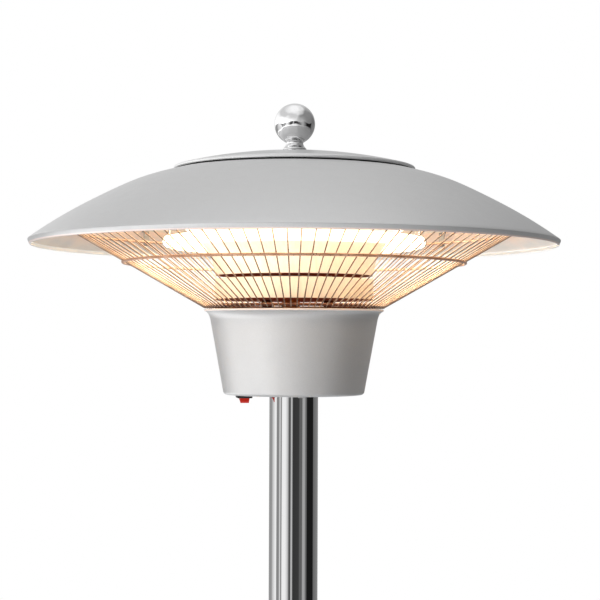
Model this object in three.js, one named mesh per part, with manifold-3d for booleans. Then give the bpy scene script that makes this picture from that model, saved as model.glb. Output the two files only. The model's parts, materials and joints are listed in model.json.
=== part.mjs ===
// A table-top electric patio heater: a weighted foot, a polished pole and a mushroom head.
// Millimetres, +Z up. The origin is on the floor under the pole's axis, and the front is -Y.
import * as THREE from "three";
import { mergeVertices } from "three/addons/utils/BufferGeometryUtils.js";
import Module from "manifold-3d";

const wasm = await Module();
wasm.setup();

// ---- Driving dimensions ----
const GAP = 0.3; // between pieces that rest on each other
const SHEET = 1.2; // pressed steel and aluminium sheet

const FOOT = { radius: 11, height: 8, circle: 128 };
const BASE = { radius: 155, neck: 33, top: 50 };
const WEIGHT = { radius: 138, thickness: 14 };
const GLAND_HEIGHT = 17;
const POLE = { radius: 25.4, wall: 1.4 };
const FLANGE = { radius: 46, thickness: 4 };

const BOWL_FLOOR = 620; // height of the bowl's underside over the floor
const BOWL = { lip: 95, neck: 87.5, neckHeight: 79, bottom: 73.8, height: 87.4 };
const ROD = { radius: 3, circle: 38, turn: -48, count: 3 };
const NUT = 11.5; // across the corners of every nut and bolt head
const SPACER_RADIUS = 5.5;
const SLEEVE = { radius: 9, place: [-3, -12] }; // ceramic sleeve round the lamp leads

// Heights from here on are measured from the bowl's underside.
const DRUM = { radius: 83, bottom: 98, top: 121.2 };
const BELL = { bottom: 123.7, rise: 64, shoulder: 175, brim: 222, brimDrop: 7 };
const LAMP = { circle: 131, height: 158, radius: 5.5, wall: 1.1, halfGap: 12 };
const LID = 82; // underside of the plate that closes the bowl
const GUARD = { wires: 100, wire: 0.75, foot: 93.4, footHeight: 90.1, top: 231.4, topHeight: 169 };
const SHADE = { radius: 273, edgeHeight: 160.3, dome: 463, recess: 129.5, rim: 275, rimFoot: 153.6 };
const SHOULDER = { radius: 165, width: 31, rise: 1.7 }; // how much fuller than a sphere the shade is
const SEAT = 225.6; // upper face of the flat seat in the middle of the shade
const CAP = { radius: 126.5, rim: 232.6, shoulder: 236.4, top: 252.5 };
const FINIAL = { ball: 21.4, centre: 283.3, waist: 8.9, waistHeight: 262.6, foot: 12 };
const STUD_RADIUS = 4;

const SWITCH = { x: -52, turn: 8, width: 15.4, length: 21.4, bezel: 3.8, tilt: 10 };

// ---- Materials ----
const finish = (color, roughness, metalness) => ({ color, roughness, metalness });
const FINISHES = {
  silver_paint: finish(0xb9b9b7, 0.45, 0.2),
  chrome: finish(0xd8dadc, 0.06, 1),
  zinc_steel: finish(0x9a9c9e, 0.4, 0.9),
  cast_iron: finish(0x3a3b3c, 0.8, 0.4),
  rubber: finish(0x1c1c1c, 0.9, 0),
  black_plastic: finish(0x161616, 0.5, 0),
  red_plastic: finish(0xc41a0c, 0.25, 0),
  reflector: finish(0xe4e2dc, 0.15, 1),
  guard_wire: finish(0xb08a70, 0.3, 1),
  quartz: finish(0xfff2d8, 0.05, 0),
  tungsten: finish(0xffc070, 0.5, 0.6),
  ceramic: finish(0xe9e4da, 0.6, 0),
};

function piece(parent, name, slot, geometry) {
  const mesh = new THREE.Mesh(geometry, new THREE.MeshStandardMaterial(FINISHES[slot]));
  mesh.name = name;
  parent.add(mesh);
  return mesh;
}

// ---- Solids ----
function toSolid(geometry) {
  const flat = geometry.index ? geometry.toNonIndexed() : geometry;
  const bare = new THREE.BufferGeometry();
  bare.setAttribute("position", flat.getAttribute("position"));
  const merged = mergeVertices(bare, 1e-3);
  return new wasm.Manifold(
    new wasm.Mesh({
      numProp: 3,
      vertProperties: merged.attributes.position.array,
      triVerts: new Uint32Array(merged.index.array),
    }),
  );
}

function toGeometry(solid) {
  const mesh = solid.getMesh();
  const geometry = new THREE.BufferGeometry();
  geometry.setAttribute("position", new THREE.BufferAttribute(mesh.vertProperties, 3));
  geometry.setIndex(new THREE.BufferAttribute(mesh.triVerts, 1));
  return geometry;
}

const cut = (geometry, ...tools) =>
  toGeometry(tools.reduce((left, tool) => left.subtract(toSolid(tool)), toSolid(geometry)));
const join = (...geometries) =>
  toGeometry(geometries.map(toSolid).reduce((left, right) => left.add(right)));

// A closed outline of [radius, height] pairs turned about Z.
function turned(outline, segments = 40) {
  const closed = [...outline];
  const onAxis = outline[0][0] === 0 && outline.at(-1)[0] === 0;
  if (!onAxis) closed.push(outline[0]);
  const area = closed.reduce((sum, [r, z], i) => {
    const [nextR, nextZ] = closed[(i + 1) % closed.length];
    return sum + r * nextZ - nextR * z;
  }, 0);
  if (area < 0) closed.reverse();
  const points = closed.map(([r, z]) => new THREE.Vector2(r, z));
  return new THREE.LatheGeometry(points, segments).rotateX(Math.PI / 2);
}

const ring = (inner, outer, low, high, segments = 24) =>
  turned([[inner, low], [outer, low], [outer, high], [inner, high]], segments);
const disc = (radius, low, high, segments = 24) =>
  turned([[0, low], [radius, low], [radius, high], [0, high]], segments);
const post = (x, y, radius, low, high, segments = 12) =>
  disc(radius, low, high, segments).translate(x, y, 0);
const block = (width, depth, height, x, y, low) =>
  new THREE.BoxGeometry(width, depth, height).translate(x, y, low + height / 2);
const hexagon = (acrossCorners, low, high) => disc(acrossCorners / 2, low, high, 6);

// Points along an open sheet's outer face, and the same points moved inwards, as one outline.
function sheetOutline(outer, thickness) {
  const inner = outer.map(([r, z], i) => {
    const [r0, z0] = outer[Math.max(i - 1, 0)];
    const [r1, z1] = outer[Math.min(i + 1, outer.length - 1)];
    const length = Math.hypot(r1 - r0, z1 - z0);
    return [r - ((z1 - z0) / length) * thickness, z + ((r1 - r0) / length) * thickness];
  });
  return [...outer, ...inner.reverse()];
}

// Points on an ellipse round (r, z), from one angle to another in degrees.
function arc(r, z, radiusR, radiusZ, from, to, steps) {
  return Array.from({ length: steps + 1 }, (_, i) => {
    const angle = THREE.MathUtils.degToRad(from + ((to - from) * i) / steps);
    return [r + radiusR * Math.cos(angle), z + radiusZ * Math.sin(angle)];
  });
}

// Places round a circle, with the angle counted from the front, counter-clockwise seen from above.
function around(radius, degrees) {
  const angle = THREE.MathUtils.degToRad(degrees - 90);
  return [radius * Math.cos(angle), radius * Math.sin(angle)];
}
const spread = (count, radius, first) =>
  Array.from({ length: count }, (_, i) => around(radius, first + (i * 360) / count));
const rodPlaces = spread(ROD.count, ROD.circle, ROD.turn);
const screwPlaces = spread(3, 36, ROD.turn + 60);
const rodHoles = (low, high) => rodPlaces.map(([x, y]) => post(x, y, ROD.radius + 0.4, low, high));
const nut = (low, high) => cut(hexagon(NUT, low, high), disc(ROD.radius + GAP, low - 1, high + 1, 12));

// ---- Foot: cover, ballast, closing plate, rubber feet ----
function makeCover() {
  const low = FOOT.height;
  const face = [
    [BASE.radius - 1, low],
    ...arc(BASE.radius - 12, low + 8, 12, 12, -30, 80, 3),
    [110, low + 25.5],
    [72, low + 32],
    [46, low + 37.5],
    [BASE.neck, BASE.top],
    [POLE.radius + 1.5, BASE.top],
  ];
  const glandHole = new THREE.CylinderGeometry(6.4, 6.4, 40, 20).translate(0, BASE.radius, GLAND_HEIGHT);
  return cut(turned(sheetOutline(face, SHEET)), glandHole);
}

function makeCollar() {
  const low = BASE.top + GAP;
  return turned([
    [POLE.radius + GAP, low],
    [37, low],
    [37, low + 2.7],
    ...arc(30.5, low + 4.7, 4.5, 6, 0, 75, 3),
    [POLE.radius + GAP, low + 11.7],
  ], 28);
}

// The gland's long axis runs along +Y, out of the back of the cover.
function makeGland() {
  const bore = 3.8;
  return turned([[bore, -14], [6, -14], [6, 0], [9, 0], [9, 4], [7, 9], [bore, 9]], 20)
    .rotateX(-Math.PI / 2)
    .translate(0, BASE.radius + 1.5, GLAND_HEIGHT);
}

function makeFoot() {
  const { radius, height } = FOOT;
  return turned([[0, 0], [radius - 1, 0], [radius, 1], [radius - 1.5, height - GAP], [0, height - GAP]], 16);
}

function makeBase() {
  const base = new THREE.Group();
  const plateTop = FOOT.height + SHEET;
  const weightLow = plateTop + GAP;
  const weightTop = weightLow + WEIGHT.thickness;
  const flangeLow = weightTop + GAP;
  const flangeTop = flangeLow + FLANGE.thickness;
  const bore = POLE.radius - POLE.wall;
  const boltPlaces = spread(3, 36, 60);
  const boltHoles = boltPlaces.map(([x, y]) => post(x, y, 3.4, 0, 60));

  piece(base, "base_cover", "silver_paint", makeCover());
  piece(base, "base_plate", "zinc_steel", disc(BASE.radius - 6, FOOT.height, plateTop, 40));
  const leadSlot = block(13, 150, 60, 0, 75, 0);
  const weight = disc(WEIGHT.radius, weightLow, weightTop, 32);
  piece(base, "base_weight", "cast_iron", cut(weight, leadSlot, post(0, 0, 12, 0, 60), ...boltHoles));
  spread(4, FOOT.circle, 45).forEach(([x, y], i) => {
    piece(base, `rubber_foot_${i + 1}`, "rubber", makeFoot().translate(x, y, 0));
  });

  const socket = join(
    ring(19, FLANGE.radius, flangeLow, flangeTop),
    ring(19, bore - GAP, flangeLow, flangeTop + 35),
  );
  piece(base, "pole_flange", "zinc_steel", cut(socket, ...boltHoles));
  boltPlaces.forEach(([x, y], i) => {
    const shank = disc(3, weightLow + 2, flangeTop + 1, 12);
    const bolt = join(shank, hexagon(NUT, flangeTop + GAP, flangeTop + 4));
    piece(base, `flange_bolt_${i + 1}`, "zinc_steel", bolt.translate(x, y, 0));
  });
  piece(base, "pole", "chrome", ring(bore, POLE.radius, flangeTop + GAP, BOWL_FLOOR + SHEET, 40));
  piece(base, "pole_collar", "chrome", makeCollar());
  piece(base, "cable_gland", "black_plastic", makeGland());
  return base;
}

// ---- Rocker switch under the bowl; its long side runs along local Y ----
function makeSwitch() {
  const group = new THREE.Group();
  group.position.x = SWITCH.x;
  group.rotation.z = THREE.MathUtils.degToRad(SWITCH.turn);
  const { width, length, bezel } = SWITCH;
  const plate = block(width, length, bezel - GAP, 0, 0, -bezel);
  const body = block(width - 2.4, length - 2.2, 15 + bezel, 0, 0, -bezel);
  const well = block(11.4, 17.8, 8, 0, 0, -bezel - 1);
  const blades = [-5, 3].map((y) => block(0.8, 4.8, 8, 0, y, 14));
  piece(group, "switch_housing", "black_plastic", cut(join(plate, body, ...blades), well));

  const side = new THREE.Shape();
  side.moveTo(-8.2, -7.6);
  side.quadraticCurveTo(0, -5.4, 8.2, -7.6);
  side.lineTo(8.2, -1);
  side.lineTo(6, 1.8);
  side.lineTo(-6, 1.8);
  side.lineTo(-8.2, -1);
  side.closePath();
  const rocker = new THREE.ExtrudeGeometry(side, { depth: 10.6, bevelEnabled: false, curveSegments: 6 });
  rocker.translate(0, 0, -5.3);
  rocker.applyMatrix4(new THREE.Matrix4().makeBasis(
    new THREE.Vector3(0, 1, 0),
    new THREE.Vector3(0, 0, 1),
    new THREE.Vector3(1, 0, 0),
  ));
  const places = rocker.getAttribute("position");
  for (let i = 0; i < places.count; i++) {
    const outward = Math.max(0, -places.getZ(i) - bezel) / (7.6 - bezel);
    places.setX(i, places.getX(i) * (1 - 0.17 * outward));
  }
  const pivot = new THREE.Group();
  pivot.position.z = -1;
  pivot.rotation.x = THREE.MathUtils.degToRad(SWITCH.tilt);
  piece(pivot, "switch_rocker", "red_plastic", rocker.translate(0, 0, 1));
  group.add(pivot);
  return group;
}

// ---- Bowl with its electrics ----
function makeBowlShell(holes) {
  const { lip, neck, neckHeight, bottom, height } = BOWL;
  const flare = [0, 0.35, 0.7, 1].map((t) => [
    neck + (lip - neck) * (0.28 * t + 0.72 * t * t),
    neckHeight + (height - neckHeight) * t,
  ]);
  const corner = arc(bottom - 3.2, 3.2, 3.2, 3.2, -60, 0, 2);
  const face = [[POLE.radius + GAP, 0], [bottom - 3.2, 0], ...corner, ...flare];
  return cut(turned(sheetOutline(face, SHEET)), ...holes);
}

// The top of the pole: a spigot inside the tube under a flange that the bowl and the rods bolt to.
function makeSpigot(low, holes) {
  const spigot = ring(19, POLE.radius - POLE.wall - GAP, -35, low + 1);
  const flange = ring(19, FLANGE.radius, low, low + FLANGE.thickness);
  const switchRelief = block(18, 34, 12, -52.5, 0, 0);
  return cut(join(spigot, flange), switchRelief, ...holes);
}

function makeTiltSwitch(low) {
  const group = new THREE.Group();
  group.position.set(-31.5, -5.5, low);
  const cup = turned([[0, 2.8], [1.5, 2.8], [6.2, 6.8], [6.2, 30], [0, 30]], 20);
  piece(group, "tilt_switch_case", "black_plastic", cut(block(17, 19, 22, 0, 0, 0), cup));
  piece(group, "tilt_switch_lid", "black_plastic", block(17, 19, 2, 0, 0, 22 + GAP));
  piece(group, "tilt_ball", "zinc_steel", new THREE.SphereGeometry(4.6, 12, 8)).position.z = 7.9;
  return group;
}

function makeBowl() {
  const bowl = new THREE.Group();
  const flangeLow = SHEET + GAP;
  const flangeTop = flangeLow + FLANGE.thickness;
  const switchHole = block(SWITCH.width - 1.8, SWITCH.length - 1.6, 6, 0, 0, -3)
    .rotateZ(THREE.MathUtils.degToRad(SWITCH.turn))
    .translate(SWITCH.x, 0, 0);
  const screwHoles = screwPlaces.map(([x, y]) => post(x, y, 2.5, -3, 12));
  piece(bowl, "bowl", "silver_paint", makeBowlShell([switchHole, ...screwHoles]));
  piece(bowl, "head_spigot", "zinc_steel", makeSpigot(flangeLow, [...screwHoles, ...rodHoles(-1, 8)]));
  const head = [[0, -2.9], [2.6, -2.9], [4, -1.4], [4, -GAP], [0, -GAP]];
  screwPlaces.forEach(([x, y], i) => {
    const screw = join(disc(2, -1, 7, 12), turned(head, 12));
    piece(bowl, `bowl_screw_${i + 1}`, "zinc_steel", screw.translate(x, y, 0));
  });

  const terminals = block(14, 23, 13, 33, 7, flangeTop + GAP);
  const wireHoles = [-0.5, 7, 14.5].map((y) =>
    new THREE.CylinderGeometry(1.8, 1.8, 40, 10).rotateZ(Math.PI / 2).translate(33, y, 12));
  piece(bowl, "terminal_block", "ceramic", cut(terminals, ...wireHoles));
  const leadHole = post(...SLEEVE.place, 6.5, LID - 1, LID + 3);
  const lid = cut(disc(85.6, LID, LID + SHEET, 48), ...rodHoles(LID - 2, LID + 4), leadHole);
  piece(bowl, "bowl_lid", "zinc_steel", lid);
  bowl.add(makeTiltSwitch(flangeTop + GAP), makeSwitch());
  return bowl;
}

// ---- Tie rods, spacers and the two polished reflectors ----
function makeRods() {
  const rods = new THREE.Group();
  const flangeTop = SHEET + GAP + FLANGE.thickness;
  rodPlaces.forEach(([x, y], i) => {
    const parts = {
      tie_rod: disc(ROD.radius, SHEET + GAP, SEAT + 8, 12),
      rod_standoff: nut(flangeTop + GAP, LID - GAP),
      rod_spacer: ring(ROD.radius + 0.4, SPACER_RADIUS, LID + SHEET + GAP, DRUM.bottom - GAP, 12),
      rod_nut: nut(SEAT + GAP, SEAT + 5),
    };
    for (const [name, geometry] of Object.entries(parts)) {
      piece(rods, `${name}_${i + 1}`, "zinc_steel", geometry.translate(x, y, 0));
    }
  });
  return rods;
}

function makeReflectors() {
  const group = new THREE.Group();
  const { radius, bottom, top } = DRUM;
  const leadHole = post(...SLEEVE.place, 6, bottom - 5, BELL.bottom + 5);
  const through = [...rodHoles(bottom - 5, BELL.bottom + 5), leadHole];
  const column = (low, high) => ring(27.5, 30, low + GAP, high - GAP);

  const sleeve = ring(6, SLEEVE.radius, LID + SHEET + GAP, bottom - GAP, 20);
  piece(group, "lead_sleeve", "ceramic", sleeve.translate(...SLEEVE.place, 0));
  const drumFace = [[0, bottom], [radius - 1.5, bottom], [radius, bottom + 1.5], [radius, top]];
  piece(group, "lower_reflector", "reflector", cut(turned(sheetOutline(drumFace, 1)), ...through));
  piece(group, "drum_column", "zinc_steel", column(bottom + 1, BELL.bottom));

  const sweep = arc(BELL.shoulder, BELL.bottom, BELL.shoulder - radius, BELL.rise, 180, 90, 6);
  const brim = [BELL.brim, BELL.bottom + BELL.rise - BELL.brimDrop];
  const bell = turned(sheetOutline([[0, BELL.bottom], ...sweep, brim], 1));
  piece(group, "upper_reflector", "reflector", cut(bell, ...through));
  piece(group, "shade_column", "zinc_steel", column(BELL.bottom + 1, SEAT - SHEET));
  return group;
}

// ---- Quartz ring lamp ----
// The lamp's centre line, open at the back by half an angle to each side.
function lampPath(halfGap) {
  const steps = 60;
  const points = Array.from({ length: steps + 1 }, (_, i) => {
    const angle = THREE.MathUtils.degToRad(90 + halfGap + ((360 - 2 * halfGap) * i) / steps);
    return new THREE.Vector3(LAMP.circle * Math.cos(angle), LAMP.circle * Math.sin(angle), 0);
  });
  return new THREE.CatmullRomCurve3(points);
}

function makeLamp() {
  const lamp = new THREE.Group();
  lamp.position.z = LAMP.height;
  const wallSection = new THREE.Shape();
  wallSection.absarc(0, 0, LAMP.radius, 0, 2 * Math.PI);
  const hollow = new THREE.Path();
  hollow.absarc(0, 0, LAMP.radius - LAMP.wall, 0, 2 * Math.PI);
  wallSection.holes.push(hollow);
  const along = (halfGap, steps, curveSegments) =>
    ({ steps, curveSegments, bevelEnabled: false, extrudePath: lampPath(halfGap) });
  piece(lamp, "lamp_tube", "quartz", new THREE.ExtrudeGeometry(wallSection, along(LAMP.halfGap, 36, 3)));
  const wireSection = new THREE.Shape();
  wireSection.absarc(0, 0, 1.5, 0, 2 * Math.PI);
  const filament = new THREE.ExtrudeGeometry(wireSection, along(LAMP.halfGap + 2, 36, 2));
  piece(lamp, "lamp_filament", "tungsten", filament);

  const bore = (length) =>
    new THREE.CylinderGeometry(LAMP.radius + 0.9, LAMP.radius + 0.9, length, 16).rotateZ(Math.PI / 2);
  [-1, 1].forEach((side, i) => {
    const socket = cut(block(18, 15, 26, 0, 0, -9), bore(40).translate(23 * side, 0, 0));
    const holder = piece(lamp, `lamp_socket_${i + 1}`, "ceramic", socket);
    const angle = 180 + side * (LAMP.halfGap - 2.6);
    holder.position.set(...around(LAMP.circle, angle), 0);
    holder.rotation.z = THREE.MathUtils.degToRad(angle);
  });
  [-80, 80].forEach((angle, i) => {
    const strap = block(7, 1.6, 15, 0, 0, 6);
    const loop = new THREE.CylinderGeometry(8, 8, 6, 16).rotateZ(Math.PI / 2);
    const clip = piece(lamp, `lamp_clip_${i + 1}`, "zinc_steel", cut(join(strap, loop), bore(12)));
    clip.position.set(...around(LAMP.circle, angle), 0);
    clip.rotation.z = THREE.MathUtils.degToRad(angle);
  });
  return lamp;
}

// ---- Wire guard: straight wires welded to three hoops ----
function makeGuard() {
  const guard = new THREE.Group();
  const { wires, wire, foot, footHeight, top, topHeight } = GUARD;
  const run = new THREE.Vector2(top - foot, topHeight - footHeight);
  const along = run.clone().normalize();
  const length = run.length();
  const wireAt = (i) =>
    new THREE.CylinderGeometry(wire, wire, length, 3)
      .rotateZ(-Math.atan2(run.x, run.y))
      .translate(foot + run.x / 2, footHeight + run.y / 2, 0)
      .rotateX(Math.PI / 2)
      .rotateZ(((i + 0.5) * 2 * Math.PI) / wires - Math.PI / 2);
  const hoop = (radius, height, tube) =>
    new THREE.TorusGeometry(radius, tube, 4, wires / 2).translate(0, 0, height);
  const share = 0.61;
  const offset = 1.3;
  const middle = foot + run.x * share + along.y * offset;
  const middleHeight = footHeight + run.y * share - along.x * offset;
  const welded = [
    hoop(foot, footHeight, 1.5),
    hoop(middle, middleHeight, 1.25),
    hoop(top, topHeight, 1.5),
    ...Array.from({ length: wires }, (_, i) => wireAt(i)),
  ];
  piece(guard, "wire_guard", "guard_wire", join(...welded));

  const pitch = 360 / wires;
  [13, 37, 63, 87].forEach((step, i) => {
    const low = topHeight - 4;
    const high = shadeHeight(top + 5) - 2.1;
    const hook = join(
      block(8, 1.5, high - low, 0, -(top + 3), low),
      block(8, 6.5, 1.5, 0, -(top + 0.5), low),
    );
    const clip = piece(guard, `guard_clip_${i + 1}`, "zinc_steel", hook);
    clip.rotation.z = THREE.MathUtils.degToRad(step * pitch);
  });
  return guard;
}

// ---- Shade, cap and finial ----
// Height of the shade's outer face at a radius: part of a sphere with a fuller shoulder.
function shadeHeight(radius) {
  const { dome, radius: edge, edgeHeight } = SHADE;
  const sphere = Math.sqrt(dome ** 2 - radius ** 2) - Math.sqrt(dome ** 2 - edge ** 2);
  const shoulder = SHOULDER.rise * Math.exp(-(((radius - SHOULDER.radius) / SHOULDER.width) ** 2));
  return edgeHeight + sphere + shoulder;
}

function makeShade() {
  const top = new THREE.Group();
  const { radius, edgeHeight, recess, rim, rimFoot } = SHADE;
  const wall = SHEET + 0.3;
  const steps = 6;
  const domeRadii = Array.from({ length: steps + 1 }, (_, i) => radius + ((recess - radius) * i) / steps);
  const outerFace = domeRadii.map((r) => [r, shadeHeight(r)]);
  const innerFace = domeRadii.map((r) => [r - 0.3, shadeHeight(r) - wall]).reverse();
  const outline = [
    [rim, edgeHeight - 1.9],
    ...outerFace,
    [recess - 2.4, SEAT + 1.5],
    [recess - 4.5, SEAT],
    [STUD_RADIUS + 0.5, SEAT],
    [STUD_RADIUS + 0.5, SEAT - SHEET],
    [recess - 4.5, SEAT - SHEET],
    ...innerFace.slice(0, -1),
    [rim - wall - 1, edgeHeight - 2.2],
    [rim - wall, edgeHeight - 3.4],
    [rim - wall, rimFoot],
    [rim - 0.4, rimFoot],
    [rim, rimFoot + 0.5],
  ];
  const shell = turned(outline, 44);
  piece(top, "shade", "silver_paint", cut(shell, ...rodHoles(SEAT - 6, SEAT + 6)));

  const rise = CAP.top - CAP.shoulder;
  const capRadius = CAP.radius - 1.5;
  const capDome = (capRadius ** 2 + rise ** 2) / (2 * rise);
  const capHeight = (r) => CAP.top - capDome + Math.sqrt(capDome ** 2 - r ** 2);
  const capRadii = [STUD_RADIUS + 0.5, 45, 85, 110, capRadius];
  const capOutline = [
    ...capRadii.map((r) => [r, capHeight(r)]),
    [CAP.radius, CAP.shoulder - 1.6],
    [CAP.radius, CAP.rim],
    [CAP.radius - 1, CAP.rim],
    [CAP.radius - 1, CAP.shoulder - 2],
    ...capRadii.map((r) => [Math.min(r, capRadius - 0.8), capHeight(r) - 1.1]).reverse(),
  ];
  piece(top, "top_cap", "silver_paint", turned(capOutline));

  const washerLow = CAP.top + GAP;
  const washer = [
    [STUD_RADIUS + GAP, washerLow],
    [19.6, washerLow],
    [19, washerLow + 1.3],
    [13.5, washerLow + 2.6],
    [STUD_RADIUS + GAP, washerLow + 2.6],
  ];
  piece(top, "cap_washer", "chrome", turned(washer, 24));
  const studTop = FINIAL.centre - 9;
  const boltTop = SEAT - SHEET - GAP;
  const stud = join(disc(STUD_RADIUS, SEAT - 3, studTop, 12), hexagon(15, boltTop - 5, boltTop));
  piece(top, "finial_stud", "zinc_steel", stud);

  const { ball, centre, waist, waistHeight, foot } = FINIAL;
  const footHeight = CAP.top + 2.9 + GAP;
  const neckAngle = THREE.MathUtils.radToDeg(Math.acos((waist + 1.4) / ball));
  const finial = [
    [0, studTop + 1],
    [STUD_RADIUS + GAP, studTop + 1],
    [STUD_RADIUS + GAP, footHeight],
    [foot, footHeight],
    ...arc(foot + 0.6, waistHeight, foot + 0.6 - waist, waistHeight - footHeight, 240, 150, 4),
    ...arc(0, centre, ball, ball, -neckAngle, 90, 9).slice(0, -1),
    [0, centre + ball],
  ];
  piece(top, "finial_ball", "chrome", turned(finial, 24));
  return top;
}

const heater = new THREE.Group();
heater.add(makeBase());
const head = new THREE.Group();
head.position.z = BOWL_FLOOR;
head.add(makeBowl(), makeRods(), makeReflectors(), makeLamp(), makeGuard(), makeShade());
heater.add(head);

export default heater;
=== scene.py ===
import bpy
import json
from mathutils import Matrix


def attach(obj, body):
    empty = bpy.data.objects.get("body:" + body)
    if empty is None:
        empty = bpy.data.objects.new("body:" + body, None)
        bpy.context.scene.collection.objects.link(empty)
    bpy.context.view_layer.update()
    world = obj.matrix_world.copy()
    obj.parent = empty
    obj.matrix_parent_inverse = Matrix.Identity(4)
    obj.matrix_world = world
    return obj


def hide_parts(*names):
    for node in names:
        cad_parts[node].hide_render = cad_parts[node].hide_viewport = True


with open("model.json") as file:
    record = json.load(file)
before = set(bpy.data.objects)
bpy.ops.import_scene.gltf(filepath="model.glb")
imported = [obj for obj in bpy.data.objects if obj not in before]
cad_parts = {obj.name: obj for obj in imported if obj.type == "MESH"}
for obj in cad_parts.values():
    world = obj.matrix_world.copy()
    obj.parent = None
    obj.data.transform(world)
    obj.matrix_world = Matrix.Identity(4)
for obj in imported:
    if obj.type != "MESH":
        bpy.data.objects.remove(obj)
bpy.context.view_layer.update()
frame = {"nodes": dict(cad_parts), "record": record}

import json
import math

import bmesh
import bpy
from mathutils import Matrix, Vector

# The object's sizes are in millimetres, and object_from turns them into metres. The stage is in metres.
MM = 0.001
BODY = "heater"
BOWL_FLOOR = 620.0  # height of the bowl's underside; parts of the head are measured from it
POLE_RADIUS = 25.4
GAP = 0.3
SHEET = 1.2
SHARP = math.radians(32)


# ---------------------------------------------------------------- camera, world and floor
def make_camera():
    """The eye stands in front of the axis, a little under the lamp, and looks slightly up."""
    sensor, lens = 36.0, 87.0
    eye = Vector((0.0, -1.517, 0.6826))
    pitch, yaw, roll = math.radians(91.36), math.radians(-0.233), math.radians(0.2)
    data = bpy.data.cameras.new("camera")
    data.sensor_width = sensor
    data.lens = lens
    data.clip_start = 0.05
    data.clip_end = 100.0
    camera = bpy.data.objects.new("camera", data)
    bpy.context.scene.collection.objects.link(camera)
    turn = Matrix.Rotation(yaw, 4, "Z") @ Matrix.Rotation(pitch, 4, "X") @ Matrix.Rotation(roll, 4, "Z")
    camera.matrix_world = Matrix.Translation(eye) @ turn
    bpy.context.scene.camera = camera


def make_world():
    """A studio with tall soft lights and dark gaps between them. Only the camera sees it as plain white."""
    world = bpy.data.worlds.new("studio")
    world.use_nodes = True
    bpy.context.scene.world = world
    tree = world.node_tree
    tree.nodes.clear()
    add = Nodes(tree)
    out = tree.nodes.new("ShaderNodeOutputWorld")
    direction = add.separate(add.coordinates("Generated"))
    # turn goes once round the studio: 0.5 is the front, 0.25 the switch's side
    angle = add.maths("ARCTAN2", direction["X"], add.maths("MULTIPLY", direction["Y"], -1.0))
    turn = add.maths("ADD", add.maths("DIVIDE", angle, 2 * math.pi), 0.5)
    stripes = add.ramp(turn, [
        (0.00, 0.34), (0.15, 0.33), (0.18, 0.62), (0.238, 1.0), (0.252, 1.0), (0.262, 0.26),
        (0.300, 0.30), (0.308, 0.80), (0.320, 0.70), (0.326, 0.16), (0.336, 0.30), (0.346, 1.0),
        (0.392, 1.0), (0.425, 0.60), (0.440, 0.14), (0.458, 0.05), (0.470, 0.66), (0.482, 0.50),
        (0.490, 0.04), (0.570, 0.05), (0.580, 0.13), (0.612, 0.13), (0.622, 0.44), (0.652, 0.40),
        (0.662, 0.16), (0.676, 0.16), (0.684, 0.012), (0.790, 0.012), (0.800, 0.16), (1.0, 0.33),
    ])
    walls = add.ramp(turn, [
        (0.00, 0.60), (0.06, 1.05), (0.14, 1.70), (0.25, 2.00), (0.35, 1.96), (0.43, 1.52),
        (0.50, 1.12), (0.58, 0.68), (0.70, 0.27), (0.86, 0.16), (0.94, 0.30), (1.0, 0.54),
    ])
    height = direction["Z"]
    shaded = add.mix_value(add.range_of(direction["X"], 0.20, 0.65), 0.73, 0.27)
    ceiling = add.mix_value(add.range_of(height, 0.76, 0.98), shaded, 1.12)
    high = add.mix_value(add.range_of(height, 0.14, 0.62), walls, ceiling)
    ground = add.ramp(turn, [
        (0.00, 0.50), (0.20, 0.85), (0.38, 0.95), (0.48, 1.30), (0.56, 1.15),
        (0.66, 0.30), (0.72, 0.12), (0.86, 0.14), (1.0, 0.50),
    ])
    low = add.mix_value(add.range_of(height, -0.46, -0.64), high, ground)
    band = add.maths("MULTIPLY", add.range_of(height, -0.28, -0.20), add.range_of(height, 0.10, 0.055))
    lit = add.mix_value(band, low, stripes)
    studio = tree.nodes.new("ShaderNodeBackground")
    tree.links.new(lit, studio.inputs["Color"])
    studio.inputs["Strength"].default_value = 1.0
    backdrop = tree.nodes.new("ShaderNodeBackground")
    backdrop.inputs["Color"].default_value = (1.0, 1.0, 1.0, 1.0)
    backdrop.inputs["Strength"].default_value = 1.0
    seen = tree.nodes.new("ShaderNodeLightPath")
    choose = tree.nodes.new("ShaderNodeMixShader")
    tree.links.new(seen.outputs["Is Camera Ray"], choose.inputs[0])
    tree.links.new(studio.outputs[0], choose.inputs[1])
    tree.links.new(backdrop.outputs[0], choose.inputs[2])
    tree.links.new(choose.outputs[0], out.inputs["Surface"])


def make_floor():
    """A round pale floor that fades out at its edge."""
    radius, fade_start, fade_end = 1.3, 0.45, 1.15
    floor = make_disc("floor", radius, 96)
    paint, add = new_material("floor_paint", roughness=0.55)
    place = add.coordinates()
    grain = add.noise(place, 60.0, 4.0)
    add.shade("Base Color", add.mix_color(grain, (0.77, 0.79, 0.82), (0.81, 0.83, 0.86)))
    add.shade("Alpha", add.range_of(add.distance_from_axis(place), fade_end, fade_start))
    floor.data.materials.append(paint)


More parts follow.
